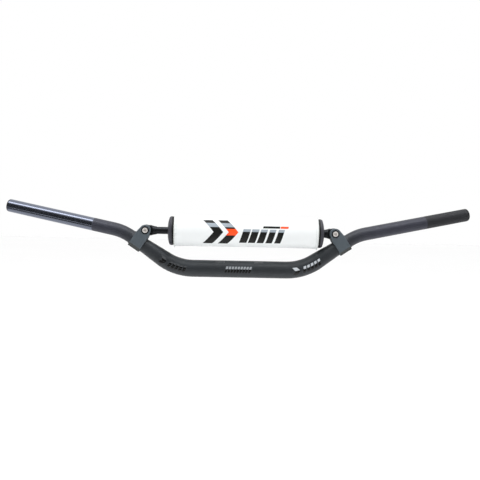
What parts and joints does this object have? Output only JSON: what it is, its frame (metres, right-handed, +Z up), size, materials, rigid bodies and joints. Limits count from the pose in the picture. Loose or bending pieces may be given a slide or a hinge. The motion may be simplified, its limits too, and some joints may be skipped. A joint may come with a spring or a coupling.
{
  "type": "motorcycle handlebar",
  "caption": "Tapered off-road motorcycle handlebar with a clamped crossbar, and a round foam pad that slides and turns on the crossbar between two domed discs.",
  "frame": {"origin": "middle of the straight centre section, on the main tube's axis", "axes": "+X along the centre section to the clutch end, +Y back towards the rider, +Z up"},
  "size_m": [0.806, 0.0927, 0.1242],
  "materials": {
    "bar": "satin",
    "clamp": "matte",
    "bolt_steel": "satin",
    "washer_steel": "satin",
    "nut_steel": "satin",
    "nut_nylon": "matte",
    "crossbar": "satin",
    "crossbar_eye": "satin",
    "pad_disc": "satin",
    "pad_foam": "matte",
    "pad_cover": "matte",
    "pad_hook": "matte",
    "pad_flap": "matte",
    "bar_plug": "matte"
  },
  "bodies": {
    "bar": {"main_bar": "bar", "clamp_left": "clamp", "clamp_right": "clamp", "clamp_bolt_left": "bolt_steel", "clamp_bolt_right": "bolt_steel", "bolt_washer_left": "washer_steel", "bolt_washer_right": "washer_steel", "clamp_nut_left": "nut_steel", "clamp_nut_right": "nut_steel", "nut_insert_left": "nut_nylon", "nut_insert_right": "nut_nylon", "crossbar_tube": "crossbar", "crossbar_eye_left": "crossbar_eye", "crossbar_eye_right": "crossbar_eye", "bar_end_plug_left": "bar_plug", "bar_end_plug_right": "bar_plug"},
    "pad_ends": {"pad_disc_left": "pad_disc", "pad_disc_right": "pad_disc"},
    "pad": {"pad_foam": "pad_foam", "pad_cover": "pad_cover", "pad_hook_strip": "pad_hook", "pad_flap": "pad_flap"}
  },
  "joints": [
    {"name": "pad_slide", "type": "slide", "parent": "bar", "child": "pad_ends", "axis": [1, 0, 0], "range_m": [-0.0186, 0]},
    {"name": "pad_turn", "type": "hinge", "parent": "pad_ends", "child": "pad", "pos_m": [0, 0, 0.06249], "axis": [1, 0, 0], "continuous": true}
  ]
}
